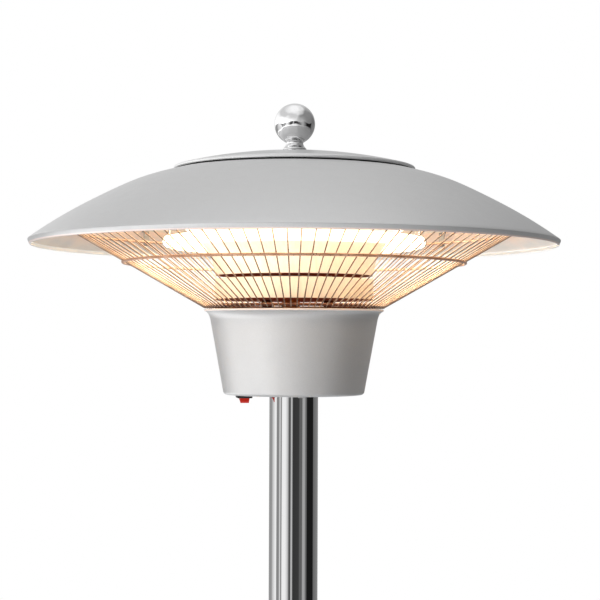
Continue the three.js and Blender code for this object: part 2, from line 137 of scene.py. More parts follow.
# ---------------------------------------------------------------- shader nodes
class Nodes:
    """Short calls for the shader nodes that the materials use."""

    def __init__(self, tree):
        self.tree = tree

    def feed(self, socket, value):
        """Links another node's output to a socket, or puts a plain value on it."""
        if isinstance(value, bpy.types.NodeSocket):
            self.tree.links.new(value, socket)
        else:
            socket.default_value = value

    def shade(self, name, value):
        """Feeds one of the material shader's own sockets."""
        self.feed(self.tree.nodes["Principled BSDF"].inputs[name], value)

    def coordinates(self, kind="Object"):
        """Where a point is, on the object or in the studio."""
        return self.tree.nodes.new("ShaderNodeTexCoord").outputs[kind]

    def separate(self, vector):
        """The X, Y and Z of a vector."""
        node = self.tree.nodes.new("ShaderNodeSeparateXYZ")
        self.feed(node.inputs[0], vector)
        return node.outputs

    def maths(self, operation, a, b=0.0):
        node = self.tree.nodes.new("ShaderNodeMath")
        node.operation = operation
        self.feed(node.inputs[0], a)
        self.feed(node.inputs[1], b)
        return node.outputs[0]

    def distance_from_axis(self, vector):
        """How far a point is from the object's Z axis."""
        apart = self.separate(vector)
        squares = [self.maths("POWER", apart[axis], 2.0) for axis in "XY"]
        return self.maths("SQRT", self.maths("ADD", *squares))

    def stretch(self, vector, scale):
        """Scales a pattern by its own amount along each axis."""
        node = self.tree.nodes.new("ShaderNodeMapping")
        self.feed(node.inputs["Vector"], vector)
        node.inputs["Scale"].default_value = scale
        return node.outputs[0]

    def noise(self, vector, scale, detail=3.0, roughness=0.5):
        """Soft random clouds from 0 to 1."""
        node = self.tree.nodes.new("ShaderNodeTexNoise")
        self.feed(node.inputs["Vector"], vector)
        node.inputs["Scale"].default_value = scale
        node.inputs["Detail"].default_value = detail
        node.inputs["Roughness"].default_value = roughness
        return node.outputs["Fac"]

    def cells(self, vector, scale):
        """Small cells, by the distance from each cell's middle."""
        node = self.tree.nodes.new("ShaderNodeTexVoronoi")
        self.feed(node.inputs["Vector"], vector)
        node.inputs["Scale"].default_value = scale
        return node.outputs["Distance"]

    def range_of(self, value, low, high, to_low=0.0, to_high=1.0):
        """Stretches low to high over to_low to to_high, and holds it there beyond."""
        node = self.tree.nodes.new("ShaderNodeMapRange")
        self.feed(node.inputs["Value"], value)
        for name, number in zip(("From Min", "From Max", "To Min", "To Max"), (low, high, to_low, to_high)):
            node.inputs[name].default_value = number
        return node.outputs[0]

    def ramp(self, value, stops):
        """Grey stops, or colour stops, along 0 to 1."""
        node = self.tree.nodes.new("ShaderNodeValToRGB")
        self.feed(node.inputs[0], value)
        colours = node.color_ramp
        while len(colours.elements) < len(stops):
            colours.elements.new(0.5)
        for element, (place, tone) in zip(colours.elements, stops):
            element.position = place
            element.color = (*tone, 1.0) if isinstance(tone, tuple) else (tone, tone, tone, 1.0)
        return node.outputs[0]

    def mix_color(self, factor, a, b):
        node = self.tree.nodes.new("ShaderNodeMix")
        node.data_type = "RGBA"
        self.feed(node.inputs[0], factor)
        self.feed(node.inputs[6], (*a, 1.0) if isinstance(a, tuple) else a)
        self.feed(node.inputs[7], (*b, 1.0) if isinstance(b, tuple) else b)
        return node.outputs[2]

    def mix_value(self, factor, a, b):
        node = self.tree.nodes.new("ShaderNodeMix")
        node.data_type = "FLOAT"
        self.feed(node.inputs[0], factor)
        self.feed(node.inputs[2], a)
        self.feed(node.inputs[3], b)
        return node.outputs[0]

    def bump(self, height, strength, distance, under=None):
        """Relief from a pattern, laid over another relief if one is given."""
        node = self.tree.nodes.new("ShaderNodeBump")
        self.feed(node.inputs["Height"], height)
        node.inputs["Strength"].default_value = strength
        node.inputs["Distance"].default_value = distance
        if under is not None:
            self.feed(node.inputs["Normal"], under)
        return node.outputs[0]


def new_material(name, metallic=0.0, roughness=0.5):
    """A material and the calls that add nodes to it."""
    material = bpy.data.materials.new(name)
    material.use_nodes = True
    add = Nodes(material.node_tree)
    add.shade("Metallic", metallic)
    add.shade("Roughness", roughness)
    return material, add


def silver_paint(name="silver_powder_coat", tone=0.64, tint=(1.0, 1.0, 1.0), metallic=0.62):
    """Satin metallic powder coat: fine flakes, a soft orange peel and slight unevenness."""
    material, add = new_material(name, metallic=metallic)
    place = add.coordinates()
    flakes = add.cells(place, 2600.0)
    cloud = add.noise(place, 14.0, 3.0)
    shades = ((1.07, 1.075, 1.08), (1.0, 1.0, 0.99), (0.93, 0.93, 0.935))
    light, middle, dark = [tuple(tone * a * b for a, b in zip(shade, tint)) for shade in shades]
    base = add.mix_color(add.range_of(flakes, 0.15, 0.65), light, dark)
    clouded = add.mix_color(add.range_of(cloud, 0.3, 0.7, 0.0, 0.35), base, middle)
    add.shade("Base Color", clouded)
    add.shade("Roughness", add.range_of(add.noise(place, 90.0, 4.0), 0.3, 0.7, 0.34, 0.42))
    peel = add.noise(place, 420.0, 2.0)
    add.shade("Normal", add.bump(peel, 0.12, 0.0004, add.bump(flakes, 0.05, 0.0001)))
    return material


def chrome(name="chrome", tone=0.86, roughness=0.02, waves=0.0):
    """Polished plate with faint drawing lines, smudges and, on a casting, a slightly wavy face."""
    material, add = new_material(name, metallic=1.0)
    place = add.coordinates()
    smudge = add.noise(place, 22.0, 5.0, 0.6)
    bright, dull = (tone, tone, tone * 1.01), (tone * 0.94,) * 3
    add.shade("Base Color", add.mix_color(smudge, bright, dull))
    add.shade("Roughness", add.range_of(smudge, 0.35, 0.80, roughness, roughness + 0.05))
    lines = add.noise(add.stretch(place, (1.0, 1.0, 0.02)), 900.0, 2.0)
    fine = add.bump(lines, 0.02, 0.0002)
    if waves:
        fine = add.bump(add.noise(place, 48.0, 2.0), 1.0, waves, fine)
    add.shade("Normal", fine)
    return material


def zinc(name="zinc_plate", tone=0.42, roughness=0.36):
    """Zinc plated steel: mottled grey with fine random scratches."""
    material, add = new_material(name, metallic=0.95)
    place = add.coordinates()
    mottle = add.noise(place, 160.0, 5.0, 0.65)
    add.shade("Base Color", add.ramp(mottle, [
        (0.25, (tone * 0.72, tone * 0.74, tone * 0.76)), (0.5, (tone, tone, tone)),
        (0.8, (tone * 1.25, tone * 1.23, tone * 1.18))]))
    add.shade("Roughness", add.range_of(mottle, 0.2, 0.8, roughness - 0.1, roughness + 0.12))
    scratches = add.noise(add.stretch(place, (1.0, 8.0, 1.0)), 700.0, 3.0)
    add.shade("Normal", add.bump(scratches, 0.15, 0.0002))
    return material


def reflector_metal(name, tone):
    """Bright rolled aluminium streaked up the sheet; its straw-to-peach tint is partly heat tint and partly
    painted lamp light.
    """
    material, add = new_material(name, metallic=0.5)
    place = add.coordinates()
    along = add.stretch(place, (1.0, 1.0, 0.03))
    streak = add.noise(along, 260.0, 4.0, 0.7)
    patch = add.noise(place, 30.0, 3.0)
    cool = (tone, tone * 0.93, tone * 0.82)
    # the warm peach is partly heat tint and partly the lamp's warm light painted in
    warm = (tone, tone * 0.85, tone * 0.67)
    base = add.mix_color(add.range_of(patch, 0.3, 0.75, 0.15, 0.75), cool, warm)
    brownish = (tone * 0.80, tone * 0.66, tone * 0.48)
    streaked = add.mix_color(add.range_of(streak, 0.35, 0.75, 0.0, 0.45), base, brownish)
    add.shade("Base Color", streaked)
    add.shade("Roughness", add.range_of(streak, 0.25, 0.75, 0.26, 0.42))
    add.shade("Normal", add.bump(streak, 0.12, 0.0005))
    return material


def satin_lining(name="shade_lining"):
    """Satin aluminium inside the shade; a peach tint, the lamp's warm light painted in, fades out towards its
    rim.
    """
    material, add = new_material(name, metallic=0.4)
    place = add.coordinates()
    radius = add.distance_from_axis(place)
    bloom = add.noise(place, 26.0, 4.0)
    edge = add.maths("ADD", radius, add.range_of(bloom, 0.2, 0.8, -0.008, 0.008))
    # painted lamp glow: peach inwards, fading out towards the rim
    painted_glow_band = add.range_of(edge, 0.270, 0.246)
    plain = add.mix_color(add.range_of(bloom, 0.3, 0.75), (0.76, 0.75, 0.74), (0.68, 0.66, 0.64))
    add.shade("Base Color", add.mix_color(painted_glow_band, plain, (1.0, 0.74, 0.57)))
    marks = add.noise(add.stretch(place, (1.0, 1.0, 14.0)), 90.0, 3.0)
    add.shade("Roughness", add.range_of(marks, 0.3, 0.7, 0.32, 0.46))
    add.shade("Normal", add.bump(marks, 0.05, 0.0004))
    return material


def wire_tint_and_glow(name, metallic, shades):
    """Plated wire in three given shades: brown heat tint with painted shade, a lighter painted highlight, a
    peach painted lamp glow.
    """
    material, add = new_material(name, metallic=metallic)
    place = add.coordinates()
    tint = add.noise(place, 45.0, 3.0)
    add.shade("Base Color", add.ramp(tint, list(zip((0.25, 0.5, 0.8), shades))))
    add.shade("Roughness", add.range_of(add.noise(place, 600.0), 0.3, 0.7, 0.24, 0.40))
    add.shade("Normal", add.bump(add.noise(place, 1500.0), 0.1, 0.0001))
    return material


def painted_shade_steel(name="painted_shade_steel", level=1.0, glow=0.0):
    """Patchy, dull dark brown steel as painted shade in gaps and undersides; with glow it also gives a
    painted red glow.
    """
    material, add = new_material(name, metallic=0.5, roughness=0.6)
    place = add.coordinates()
    patches = add.noise(place, 70.0, 5.0, 0.65)
    shades = ((0.05, 0.014, 0.006), (0.14, 0.042, 0.016), (0.30, 0.12, 0.05))
    browns = [tuple(channel * level for channel in shade) for shade in shades]
    add.shade("Base Color", add.ramp(patches, list(zip((0.25, 0.55, 0.8), browns))))
    add.shade("Normal", add.bump(patches, 0.25, 0.0003))
    # painted glow: this steel is no lamp
    if glow:
        add.shade("Emission Color", (1.0, 0.085, 0.020, 1.0))
        add.shade("Emission Strength", glow)
    return material


def moulded_plastic(name, tone, roughness=0.45):
    """Fine spark-eroded texture on moulded plastic."""
    material, add = new_material(name)
    place = add.coordinates()
    grain = add.noise(place, 1800.0, 3.0)
    wear = add.noise(place, 60.0, 4.0)
    light = tuple(min(1.0, channel * 1.6 + 0.004) for channel in tone)
    add.shade("Base Color", add.mix_color(add.range_of(wear, 0.45, 0.8), tone, light))
    add.shade("Roughness", add.range_of(wear, 0.3, 0.7, roughness - 0.06, roughness + 0.08))
    add.shade("Normal", add.bump(grain, 0.2, 0.0001))
    return material


def silicone_sleeve(name="silicone_sleeve"):
    """Orange-brown heat-proof silicone over woven glass."""
    material, add = new_material(name, roughness=0.6)
    place = add.coordinates()
    weave = add.noise(place, 500.0, 2.0)
    add.shade("Base Color", add.mix_color(weave, (0.80, 0.30, 0.06), (0.62, 0.20, 0.04)))
    add.shade("Normal", add.bump(weave, 0.3, 0.0002))
    return material


def rubber(name="foot_rubber"):
    """Black rubber with pale dust in patches."""
    material, add = new_material(name, roughness=0.85)
    place = add.coordinates()
    dust = add.noise(place, 140.0, 5.0)
    clean, dusty = (0.018, 0.018, 0.018), (0.06, 0.058, 0.055)
    add.shade("Base Color", add.mix_color(add.range_of(dust, 0.4, 0.8), clean, dusty))
    add.shade("Normal", add.bump(add.noise(place, 900.0), 0.35, 0.0002))
    return material


def cast_iron(name="cast_iron"):
    """Rough dark iron, pitted by its mould."""
    material, add = new_material(name, metallic=0.3, roughness=0.8)
    place = add.coordinates()
    pits = add.noise(place, 320.0, 5.0, 0.7)
    add.shade("Base Color", add.mix_color(pits, (0.03, 0.03, 0.032), (0.10, 0.095, 0.09)))
    add.shade("Normal", add.bump(pits, 0.6, 0.0006))
    return material


def ceramic(name="steatite"):
    """Unglazed cream ceramic with fine specks."""
    material, add = new_material(name, roughness=0.55)
    place = add.coordinates()
    speck = add.noise(place, 420.0, 5.0, 0.7)
    add.shade("Base Color", add.ramp(speck, [
        (0.3, (0.66, 0.61, 0.53)), (0.55, (0.80, 0.77, 0.70)), (0.8, (0.86, 0.84, 0.79))]))
    add.shade("Normal", add.bump(speck, 0.15, 0.0002))
    return material


def glowing(name, colour, strength, alpha=1.0, base=(1.0, 0.9, 0.75)):
    """A hot surface whose glow is slightly uneven along it."""
    material, add = new_material(name, roughness=0.08)
    uneven = add.noise(add.coordinates(), 26.0, 2.0)
    cooler = (colour[0] * 0.92, colour[1] * 0.78, colour[2] * 0.66)
    add.shade("Emission Color", add.mix_color(add.range_of(uneven, 0.35, 0.7), colour, cooler))
    add.shade("Base Color", (*base, 1.0))
    add.shade("Emission Strength", strength)
    add.shade("Alpha", alpha)
    return material


def lit_red(name="lit_red_plastic"):
    """Translucent red moulding with a lamp behind its middle."""
    material, add = new_material(name, roughness=0.22)
    place = add.coordinates()
    cloud = add.noise(place, 320.0, 3.0)
    add.shade("Base Color", add.mix_color(cloud, (0.56, 0.012, 0.005), (0.70, 0.030, 0.012)))
    add.shade("Emission Color", add.mix_color(cloud, (0.80, 0.006, 0.002), (1.0, 0.05, 0.01)))
    add.shade("Emission Strength", 0.12)
    add.shade("Coat Weight", 0.4)
    add.shade("Normal", add.bump(add.noise(place, 900.0), 0.06, 0.0001))
    return material


# ---------------------------------------------------------------- meshes
def make_disc(name, radius, count):
    """A flat round sheet of one face."""
    turns = [2 * math.pi * i / count for i in range(count)]
    mesh = bpy.data.meshes.new(name)
    rim = [(radius * math.cos(t), radius * math.sin(t), 0.0) for t in turns]
    mesh.from_pydata(rim, [], [tuple(range(count))])
    mesh.update()
    obj = bpy.data.objects.new(name, mesh)
    bpy.context.scene.collection.objects.link(obj)
    return obj


def object_from(bm, name, materials, sharp=SHARP):
    """Turns a bmesh in millimetres into a smooth-shaded object with its hard edges kept."""
    bmesh.ops.recalc_face_normals(bm, faces=bm.faces)
    bmesh.ops.scale(bm, vec=(MM, MM, MM), verts=bm.verts)
    for face in bm.faces:
        face.smooth = True
    for edge in bm.edges:
        if len(edge.link_faces) == 2 and edge.calc_face_angle(0.0) > sharp:
            edge.smooth = False
    mesh = bpy.data.meshes.new(name)
    bm.to_mesh(mesh)
    bm.free()
    obj = bpy.data.objects.new(name, mesh)
    bpy.context.scene.collection.objects.link(obj)
    for material in materials:
        mesh.materials.append(material)
    return obj


def add_turned(bm, outline, segments, slots=None):
    """Adds a closed outline of (radius, height) turned about Z. slots gives a material per outline edge."""
    on_axis = outline[0][0] < 1e-9 and outline[-1][0] < 1e-9
    rings = []
    for radius, height in outline:
        if radius < 1e-9:
            rings.append([bm.verts.new((0.0, 0.0, height))])
            continue
        rings.append([bm.verts.new((radius * math.cos(2 * math.pi * k / segments),
                                    radius * math.sin(2 * math.pi * k / segments), height))
                      for k in range(segments)])
    pairs = list(zip(rings, rings[1:]))
    if not on_axis:
        pairs.append((rings[-1], rings[0]))
    for index, (low, high) in enumerate(pairs):
        for k in range(segments):
            after = (k + 1) % segments
            corners = []
            for ring, places in ((low, (k, after)), (high, (after, k))):
                corners += [ring[0]] if len(ring) == 1 else [ring[p] for p in places]
            if len(corners) < 3:
                continue
            face = bm.faces.new(corners)
            if slots:
                face.material_index = slots[index]


def turned(name, outline, materials, segments=192, slots=None, lift=0.0):
    """An object of one closed outline turned about Z, lifted to its place."""
    bm = bmesh.new()
    add_turned(bm, [(r, z + lift) for r, z in outline], segments, slots)
    return object_from(bm, name, materials)


def arc(r, z, radius, start, end, steps):
    """Points on a circle round (r, z), from one angle to another in degrees."""
    turns = [math.radians(start + (end - start) * i / steps) for i in range(steps + 1)]
    return [(r + radius * math.cos(t), z + radius * math.sin(t)) for t in turns]


def sheet(face, thickness):
    """The open line of a sheet's outer face, closed with the same line moved inwards."""
    inner = []
    for i, (r, z) in enumerate(face):
        r0, z0 = face[max(i - 1, 0)]
        r1, z1 = face[min(i + 1, len(face) - 1)]
        length = math.hypot(r1 - r0, z1 - z0)
        inner.append((max(0.0, r - (z1 - z0) / length * thickness), z + (r1 - r0) / length * thickness))
    return face + inner[::-1]


def smooth_line(points, steps):
    """A Catmull-Rom line through (radius, height) points."""
    line = []
    for i in range(len(points) - 1):
        p0, p1 = points[max(i - 1, 0)], points[i]
        p2, p3 = points[i + 1], points[min(i + 2, len(points) - 1)]
        for k in range(steps):
            t = k / steps
            line.append(tuple(
                0.5 * (2 * b + (c - a) * t + (2 * a - 5 * b + 4 * c - d) * t * t
                       + (3 * b - a - 3 * c + d) * t ** 3)
                for a, b, c, d in zip(p0, p1, p2, p3)))
    return line + [points[-1]]


def add_tube(bm, path, radius, sides=8, closed=False):
    """A round tube along a list of points, with flat ends. radius may be a function of 0 to 1 along it."""
    count = len(path)
    rings = []
    side = None
    for i, point in enumerate(path):
        before = path[i - 1] if closed or i else path[0]
        after = path[(i + 1) % count] if closed or i < count - 1 else path[-1]
        along = (Vector(after) - Vector(before)).normalized()
        if side is None:
            side = along.orthogonal()
        side = (side - along * side.dot(along)).normalized()
        up = along.cross(side)
        size = radius(i / (count - 1)) if callable(radius) else radius
        rings.append([bm.verts.new(Vector(point) + size * (
            side * math.cos(2 * math.pi * k / sides) + up * math.sin(2 * math.pi * k / sides)))
            for k in range(sides)])
    pairs = list(zip(rings, rings[1:]))
    if closed:
        pairs.append((rings[-1], rings[0]))
    for low, high in pairs:
        for k in range(sides):
            after = (k + 1) % sides
            bm.faces.new((low[k], low[after], high[after], high[k]))
    if not closed:
        bm.faces.new(rings[0][::-1])
        bm.faces.new(rings[-1])


def ring_path(radius, height, count):
    """Points round a level circle."""
    return [(radius * math.cos(2 * math.pi * i / count), radius * math.sin(2 * math.pi * i / count), height)
            for i in range(count)]


def add_block(bm, size, centre, bevel, segments, place):
    """A bevelled block, put where place says."""
    made = bmesh.ops.create_cube(bm, size=1.0)["verts"]
    bmesh.ops.scale(bm, vec=size, verts=made)
    edges = list({edge for v in made for edge in v.link_edges})
    bevelled = bmesh.ops.bevel(bm, geom=edges, offset=bevel, segments=segments, affect="EDGES", profile=0.5)
    verts = list({v for face in bevelled["faces"] for v in face.verts} | {v for v in made if v.is_valid})
    bmesh.ops.transform(bm, matrix=place @ Matrix.Translation(centre), verts=verts)


def around(radius, degrees):
    """A place on a circle, its angle counted from the front, counter-clockwise seen from above."""
    angle = math.radians(degrees - 90)
    return radius * math.cos(angle), radius * math.sin(angle)


def stand_for(obj, slot, *nodes, body=BODY):
    """The piece rides on a body and replaces the CAD nodes that it refines; its slot is not used."""
    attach(obj, body)
    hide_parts(*nodes)


# ---------------------------------------------------------------- shade, cap and finial
SHADE_RADIUS = 273.0
SHADE_EDGE = 160.3  # height where the dome meets the rim
SHADE_DOME = 463.0  # radius of the sphere that the dome is part of
RECESS = 129.5  # radius of the sunk seat under the cap
SEAT = 225.6
STUD_HOLE = 5.0


def shade_height(radius):
    """A spherical dome that is a little fuller round its shoulder."""
    sphere = math.sqrt(SHADE_DOME ** 2 - radius ** 2) - math.sqrt(SHADE_DOME ** 2 - SHADE_RADIUS ** 2)
    return SHADE_EDGE + sphere + 1.7 * math.exp(-((radius - 165.0) / 31.0) ** 2)


def make_shade(paints, inner, dark):
    """A spun dome with a turned-down rim and a flat recessed seat in its middle."""
    steps, rim, rim_top, rim_foot, wall = 44, 275.0, 158.9, 153.6, 1.5
    bend = rim - 1.6
    shoulder = shade_height(RECESS)
    radii = [bend + (RECESS + 1.5 - bend) * i / steps for i in range(1, steps + 1)]
    band = [(rim - 2.4, rim_foot), (rim - 1.9, rim_foot + 0.25), (rim - 1.4, rim_foot + 1.4),
            (rim - 0.2, rim_top - 1.2), (rim - 0.1, rim_top - 0.3), (rim - 0.8, rim_top + 0.65)]
    seat = [(RECESS + 0.3, shoulder - 0.1), (RECESS - 0.8, shoulder - 0.9), (RECESS - 2.0, SEAT + 2.4),
            (RECESS - 3.2, SEAT + 0.6), (RECESS - 4.8, SEAT), (STUD_HOLE, SEAT)]
    outer = band + [(r, shade_height(r)) for r in radii] + seat
    under = [(STUD_HOLE, SEAT - SHEET), (RECESS - 5.0, SEAT - SHEET), (RECESS - 2.0, SEAT + 0.2)]
    inside = [(r - 0.5, shade_height(r) - wall) for r in radii[-2::-1]]
    foot = [(rim - wall - 0.4, rim_top - 0.9), (rim - wall, rim_top - 1.8),
            (rim - wall - 1.7, rim_foot + 0.5), (rim - wall - 1.4, rim_foot)]
    lined = under + inside + foot
    # slots: 0 paint, 1 lining, 2 dark seat as painted shade, 3 the rim's inner wall, lighter as painted
    # highlight, 4 the rim's foot, pink as painted lamp glow
    slots = [4] * 2 + [0] * (len(outer) - 6) + [2] * 3 + [1] * (len(lined) - 3) + [3] * 4
    shade = turned("shade_dome", outer + lined, [paints[0], inner, dark, *paints[1:]], 256, slots, BOWL_FLOOR)
    stand_for(shade, "silver_paint", "shade")


def make_cap(paint, dark, edge_highlight_paint):
    """A shallow spun cap with a rounded rim that stands off the shade."""
    radius, rim, shoulder, top, steps = 126.5, 233.0, 237.0, 252.5, 30
    edge = radius - 2.4
    rise = top - shoulder
    dome = (edge ** 2 + rise ** 2) / (2 * rise)
    radii = [edge + (4.5 - edge) * i / steps for i in range(steps + 1)]
    face = [(r, top - dome + math.sqrt(dome ** 2 - r ** 2)) for r in radii]
    roll = [(radius - 1.2, rim), (radius - 0.5, rim + 0.2), (radius - 0.1, rim + 0.7), (radius, rim + 1.4),
            (radius - 0.3, shoulder - 1.0), (radius - 0.8, shoulder - 0.4), (radius - 1.6, shoulder - 0.1)]
    under = [(r - 0.6, z - 1.1) for r, z in face[::-1]]
    hidden = under + [(radius - 2.6, shoulder - 2.4), (radius - 2.6, rim + 0.6)]
    # slots: 0 paint, 1 the underside, black as painted shade, 2 the rolled rim, a lighter copy of the paint
    # as painted highlight
    slots = [2] * (len(roll) - 1) + [0] * (len(face) + 1) + [1] * len(hidden)
    cap = turned("vent_cap", roll + face + hidden, [paint, dark, edge_highlight_paint], 256, slots, BOWL_FLOOR)
    stand_for(cap, "silver_paint", "top_cap")


def make_finial(plate, ball_plate):
    """A polished ball on a waisted neck over a thin stepped washer."""
    ball, centre, waist, foot = 21.4, 283.3, 8.9, 255.7
    socket, socket_top = 4.4, foot + 8.0
    start = -math.degrees(math.acos((waist + 0.9) / ball))
    neck = smooth_line([(socket, foot), (11.2, foot), (12.4, foot + 0.5), (12.2, foot + 1.6),
                        (10.2, foot + 4.0), (9.1, foot + 6.6), (waist + 0.2, foot + 8.0)], 5)
    sphere = arc(0.0, centre, ball, start, 90, 56)
    outline = [(0.0, socket_top), (socket, socket_top)] + neck + sphere[1:-1] + [(0.0, centre + ball)]
    stand_for(turned("finial", outline, [ball_plate], 128, lift=BOWL_FLOOR), "chrome", "finial_ball")
    bore, low = 4.3, 252.8
    washer = [(bore, low), (19.2, low), (19.6, low + 0.5), (19.2, low + 1.2), (18.0, low + 1.6),
              (14.6, low + 1.9), (14.0, low + 2.6), (bore, low + 2.6)]
    stand_for(turned("finial_washer", washer, [plate], 96, lift=BOWL_FLOOR), "chrome", "cap_washer")


# ---------------------------------------------------------------- bowl and switch
def make_bowl(paint, bead_glow_paint):
    """A deep pressed bowl that flares into a short upright lip."""
    bottom, neck, neck_height, lip = 73.8, 86.9, 75.5, 91.9
    flare = smooth_line([(neck, neck_height), (87.7, 79.4), (89.1, 83.0), (91.2, 85.5), (lip + 0.9, 86.4)], 4)
    edge = arc(lip + 0.8, 87.5, 1.1, -80, 170, 12)
    bend = 3.6
    corner = arc(bottom - bend, bend, bend, -88, -4, 8)
    wall = [(bottom + (neck - bottom) * t, bend + (neck_height - bend) * t) for t in (0.2, 0.4, 0.6, 0.8)]
    face = [(r, 0.0) for r in (POLE_RADIUS + GAP, 34.0, 44.0, 60.0)] + corner + wall + flare
    outline = sheet(face, SHEET)
    middle = len(face)
    outline = outline[:middle] + edge + outline[middle + 1:]
    # slot 1: the lip's bead, a lighter pink copy of the paint as painted lamp glow
    slots = [1 if middle - 2 < step < middle + len(edge) - 1 else 0 for step in range(len(outline))]
    bowl = turned("bowl_shell", outline, [paint, bead_glow_paint], 192, slots, BOWL_FLOOR)
    stand_for(bowl, "silver_paint", "bowl")


SWITCH_PLACE = Matrix.Translation((-52.0, 0.0, BOWL_FLOOR)) @ Matrix.Rotation(math.radians(8), 4, "Z")


def make_bezel(black):
    """A panel bezel round a well, with the switch's body and two terminal blades above it."""
    width, length, depth, wall = 15.4, 21.4, 3.8, 1.8
    rim_height, rim_middle = depth - 0.3, -depth / 2 - 0.15
    well_wide, well_long, well_high, well_middle = 12.6, 18.8, 17.0, 6.4
    bm = bmesh.new()
    for side in (-1, 1):
        x, y = side * (width - wall) / 2, side * (length - 1.6) / 2
        add_block(bm, (wall, length, rim_height), (x, 0, rim_middle), 0.45, 3, SWITCH_PLACE)
        add_block(bm, (width, 1.6, rim_height), (0, y, rim_middle), 0.45, 3, SWITCH_PLACE)
        x, y = side * (well_wide - 0.6) / 2, side * (well_long - 0.5) / 2
        add_block(bm, (0.6, well_long, well_high), (x, 0, well_middle), 0.15, 1, SWITCH_PLACE)
        add_block(bm, (well_wide, 0.5, well_high), (0, y, well_middle), 0.15, 1, SWITCH_PLACE)
    add_block(bm, (well_wide, well_long, 8.0), (0, 0, 11.0), 0.4, 2, SWITCH_PLACE)
    for y in (-5, 3):
        add_block(bm, (0.8, 4.8, 8.0), (0, y, 18.0), 0.15, 1, SWITCH_PLACE)
    stand_for(object_from(bm, "switch_bezel", [black]), "black_plastic", "switch_housing")


def make_rocker(red, frame_red):
    """A rocker with a dished face and darker rounded edges, tapering towards that face."""
    wide, half, dish, steps = 5.3, 8.2, 2.2, 14
    face, taper_start, taper = -7.6, -3.8, 0.17
    section = []
    for i in range(steps + 1):
        y = -half + 2 * half * i / steps
        section.append((y, face + dish * (1 - (y / half) ** 2)))
    section += [(half, -1.0), (6.0, 1.8), (-6.0, 1.8), (-half, -1.0)]
    bm = bmesh.new()
    sides = []
    for x in (-wide, wide):
        narrowed = [x * (1 - taper * max(0.0, taper_start - z) / -taper_start) for _, z in section]
        sides.append([bm.verts.new((across, y, z)) for across, (y, z) in zip(narrowed, section)])
    left, right = sides
    for k in range(len(section)):
        after = (k + 1) % len(section)
        bm.faces.new((left[k], left[after], right[after], right[k]))
    bm.faces.new(left[::-1])
    bm.faces.new(right)
    rims = [e for e in bm.edges if e.calc_face_angle(0.0) > math.radians(40)]
    rounded = bmesh.ops.bevel(bm, geom=rims, offset=0.75, segments=3, affect="EDGES", profile=0.5)
    for rounded_face in rounded["faces"]:
        rounded_face.material_index = 1
    pin = Matrix.Translation((0, 0, -1.0))
    tilt = pin @ Matrix.Rotation(math.radians(10), 4, "X") @ pin.inverted()
    bmesh.ops.transform(bm, matrix=SWITCH_PLACE @ tilt, verts=bm.verts)
    button = object_from(bm, "rocker_button", [red, frame_red], math.radians(50))
    stand_for(button, "red_plastic", "switch_rocker", body="rocker")


def add_cross_screw(bm, x, y, z, radius):
    """A pan-head screw with a cross recess, its head pointing down."""
    count = 40
    turns = [2 * math.pi * k / count for k in range(count)]
    head = ((1.0, 0.0), (1.0, 0.5), (0.93, 1.1), (0.75, 1.65), (0.45, 1.95))
    rings = []
    for share, depth in head:
        r = radius * share
        rings.append([bm.verts.new((x + r * math.cos(t), y + r * math.sin(t), z - depth)) for t in turns])
    arm, narrow = radius * 0.42, radius * 0.10
    reach = [narrow + (arm - narrow) * abs(math.cos(2 * t)) ** 5 for t in turns]
    cross = [(r * math.cos(t), r * math.sin(t)) for r, t in zip(reach, turns)]
    for share, depth in ((1.0, 1.98), (0.8, 0.9)):
        rings.append([bm.verts.new((x + px * share, y + py * share, z - depth)) for px, py in cross])
    for low, high in zip(rings, rings[1:]):
        for k in range(count):
            after = (k + 1) % count
            bm.faces.new((low[k], low[after], high[after], high[k]))
    bm.faces.new(rings[0][::-1])
    bm.faces.new(rings[-1])


def make_bowl_screws(steel):
    """Three screws through the bowl's floor into the spigot above it."""
    for i in range(3):
        x, y = around(36.0, 12 + i * 120)
        bm = bmesh.new()
        add_cross_screw(bm, x, y, BOWL_FLOOR - 0.3, 4.0)
        add_tube(bm, [(x, y, BOWL_FLOOR - 0.2), (x, y, BOWL_FLOOR + 7.0)], 2.0, 16)
        stand_for(object_from(bm, f"bowl_cross_screw_{i + 1}", [steel]), "zinc_steel", f"bowl_screw_{i + 1}")


# ---------------------------------------------------------------- reflectors
DRUM_RADIUS = 83.0


def make_drum(bright, brownish):
    """A shallow drum, open at the top, whose underside is dark brown with a faint red glow: painted shade and
    painted glow.
    """
    bottom, top, r = 98.0, 120.7, DRUM_RADIUS
    face = [(0.0, bottom), (r - 2.0, bottom)] + arc(r - 1.6, bottom + 1.6, 1.6, -85, -5, 5)
    face += [(r, bottom + 8), (r, bottom + 15), (r, top - 0.6)]
    outline = sheet(face, 1.0)
    # the underside faces take painted shade with a faint painted glow
    under = [1 if high[1] < bottom + 1.2 else 0 for _, high in zip(outline, outline[1:])]
    lower = turned("drum_reflector", outline, [bright, brownish], 192, under, BOWL_FLOOR)
    stand_for(lower, "reflector", "lower_reflector")


